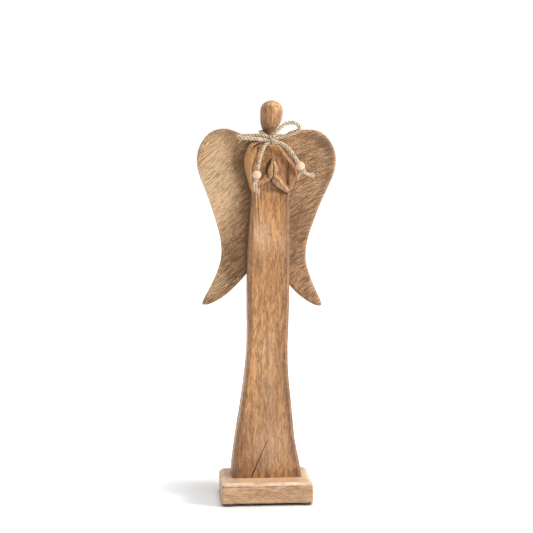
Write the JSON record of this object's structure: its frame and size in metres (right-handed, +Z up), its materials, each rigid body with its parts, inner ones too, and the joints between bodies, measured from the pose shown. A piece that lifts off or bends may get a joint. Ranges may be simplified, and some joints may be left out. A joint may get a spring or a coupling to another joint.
{
  "type": "carved wooden angel figurine",
  "caption": "Tall carved mango wood angel with praying hands, egg-shaped head and two sawn wings, on a bevelled plinth, with a jute bow and wooden beads.",
  "frame": {"origin": "on the floor, midway between the outer edges of the wings and between the plinth's front and back faces", "axes": "+Z up the figure, -Y out of its front, +X to the right of a viewer who faces the front"},
  "size_m": [0.1575, 0.08, 0.45],
  "materials": {
    "body_mango": "sanded mango wood, wax finish, vertical grain with darker streaks",
    "head_mango": "sanded mango wood, wax finish, warm brown with fine dark specks",
    "wing_mango": "rough-sawn mango wood with diagonal saw ridges, brushed dark wax",
    "base_mango": "sanded mango wood, wax finish, horizontal grain, worn bevels",
    "foot_felt": "dark pressed felt disc, self-adhesive",
    "screw_steel": "zinc-plated steel wood screw",
    "dowel_wood": "plain beech dowel",
    "jute": "natural jute twine, three strands, fuzzy",
    "bead_wood": "pale unvarnished turned wood"
  },
  "bodies": {
    "root": {"base": "base_mango", "foot_front_left": "foot_felt", "foot_front_right": "foot_felt", "foot_back_left": "foot_felt", "foot_back_right": "foot_felt", "body": "body_mango", "head": "head_mango", "neck_dowel": "dowel_wood", "wing_left": "wing_mango", "wing_right": "wing_mango", "base_screw_left": "screw_steel", "base_screw_right": "screw_steel", "wing_screw_left_lower": "screw_steel", "wing_screw_left_upper": "screw_steel", "wing_screw_right_lower": "screw_steel", "wing_screw_right_upper": "screw_steel", "neck_twine_left": "jute", "neck_twine_right": "jute", "bow_knot": "jute", "bow_loop_left": "jute", "bow_loop_right": "jute", "tail_left": "jute", "tail_right": "jute", "end_knot_left": "jute", "end_knot_right": "jute", "frayed_end_left": "jute", "frayed_end_right": "jute"},
    "bead_left": {"bead_left": "bead_wood"},
    "bead_right": {"bead_right": "bead_wood"}
  },
  "joints": [
    {"name": "bead_left_slide", "type": "slide", "parent": "root", "child": "bead_left", "axis": [0.1675, 0.0345, 0.9853], "range_m": [0, 0.007]},
    {"name": "bead_right_slide", "type": "slide", "parent": "root", "child": "bead_right", "axis": [-0.5296, 0.0385, 0.8474], "range_m": [0, 0.006]}
  ]
}
